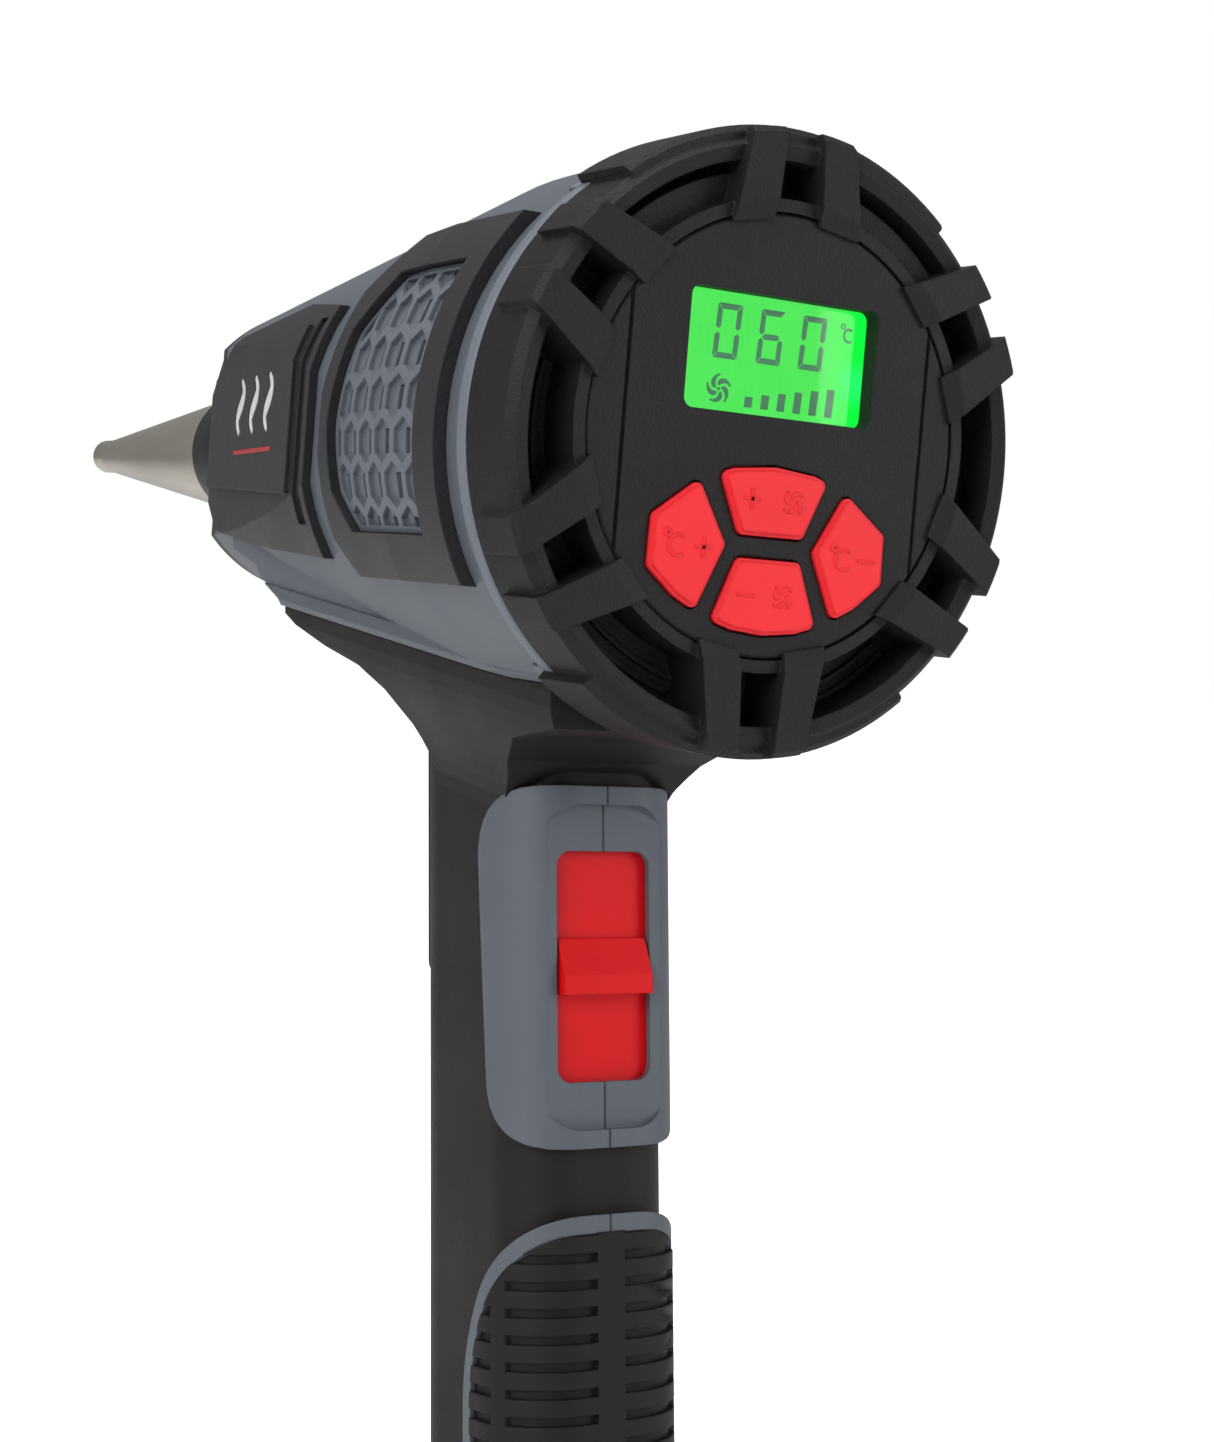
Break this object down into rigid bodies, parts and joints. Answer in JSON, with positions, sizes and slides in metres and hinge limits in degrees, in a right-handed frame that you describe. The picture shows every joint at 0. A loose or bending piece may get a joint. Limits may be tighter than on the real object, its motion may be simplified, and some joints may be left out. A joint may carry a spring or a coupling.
{
  "type": "heat gun",
  "caption": "Pistol-grip hot-air gun with a display and keys in its round rear cap, side vents and a long tapered nozzle.",
  "frame": {"origin": "centre of the nozzle's mouth, on the barrel's axis", "axes": "+Y along the barrel and out of the nozzle, -Z down the handle, +X to the user's right when the gun is held"},
  "size_m": [0.0934, 0.292, 0.2436],
  "materials": {
    "shell_grey": "fine moulded texture",
    "bead_grey": "fine moulded texture",
    "cap_black": "coarse spark texture",
    "trim_black": "fine moulded texture",
    "grille_grey": "fine moulded texture",
    "soft_black": "soft matt overmould",
    "key_red": "satin, slightly soft",
    "slide_red": "satin",
    "lens_clear": "polished",
    "display_green": "backlit",
    "board_green": "solder mask",
    "part_black": "moulded",
    "screw_steel": "plated",
    "screw_black": "black oxide",
    "nozzle_steel": "polished, slightly heat-tinted",
    "guard_black": "heat-proof black",
    "former_ceramic": "unglazed",
    "mica": "layered",
    "wire_alloy": "oxidised",
    "duct_plastic": "glass-filled",
    "motor_steel": "zinc plated",
    "terminal_white": "nylon"
  },
  "bodies": {
    "gun": {"housing_left": "shell_grey", "housing_right": "shell_grey", "seam_bead": "bead_grey", "rear_cap": "cap_black", "face_plate": "cap_black", "display_lens": "lens_clear", "display_module": "display_green", "key_switches": "part_black", "control_board": "board_green", "board_screws": "screw_steel", "cap_screws": "screw_black", "vent_frame_left": "trim_black", "vent_frame_right": "trim_black", "vent_grille_left": "grille_grey", "vent_grille_right": "grille_grey", "badge_shell_left": "trim_black", "badge_shell_right": "trim_black", "front_collar": "trim_black", "heat_guard": "guard_black", "nozzle": "nozzle_steel", "heater_core": "former_ceramic", "heater_wire": "wire_alloy", "mica_sleeve": "mica", "thermocouple": "screw_steel", "fan_duct": "duct_plastic", "motor": "motor_steel", "grip_overmould": "soft_black", "accent_band": "shell_grey", "palm_pad": "soft_black", "front_grip": "soft_black", "slide_switch": "part_black", "power_board": "board_green", "terminal_block": "terminal_white", "cable_clamp": "part_black", "clamp_screws": "screw_steel", "cord_gland": "soft_black", "shell_screws": "screw_steel"},
    "fan": {"motor_shaft": "screw_steel", "fan_wheel": "duct_plastic"},
    "fan_up_key": {"key_fan_up": "key_red"},
    "fan_down_key": {"key_fan_down": "key_red"},
    "heat_up_key": {"key_heat_up": "key_red"},
    "heat_down_key": {"key_heat_down": "key_red"},
    "slide": {"slide_key": "slide_red"}
  },
  "joints": [
    {"name": "fan_spin", "type": "hinge", "parent": "gun", "child": "fan", "pos_m": [0, -0.215, 0], "axis": [0, 1, 0], "continuous": true},
    {"name": "fan_up_press", "type": "slide", "parent": "gun", "child": "fan_up_key", "axis": [0, 1, 0], "range_m": [0, 0.0008], "stiffness_N_per_m": 800, "springref_m": -0.0008},
    {"name": "fan_down_press", "type": "slide", "parent": "gun", "child": "fan_down_key", "axis": [0, 1, 0], "range_m": [0, 0.0008], "stiffness_N_per_m": 800, "springref_m": -0.0008},
    {"name": "heat_up_press", "type": "slide", "parent": "gun", "child": "heat_up_key", "axis": [0, 1, 0], "range_m": [0, 0.0008], "stiffness_N_per_m": 800, "springref_m": -0.0008},
    {"name": "heat_down_press", "type": "slide", "parent": "gun", "child": "heat_down_key", "axis": [0, 1, 0], "range_m": [0, 0.0008], "stiffness_N_per_m": 800, "springref_m": -0.0008},
    {"name": "slide_travel", "type": "slide", "parent": "gun", "child": "slide", "axis": [0, 0.165, 0.9863], "range_m": [-0.003, 0.003]}
  ]
}
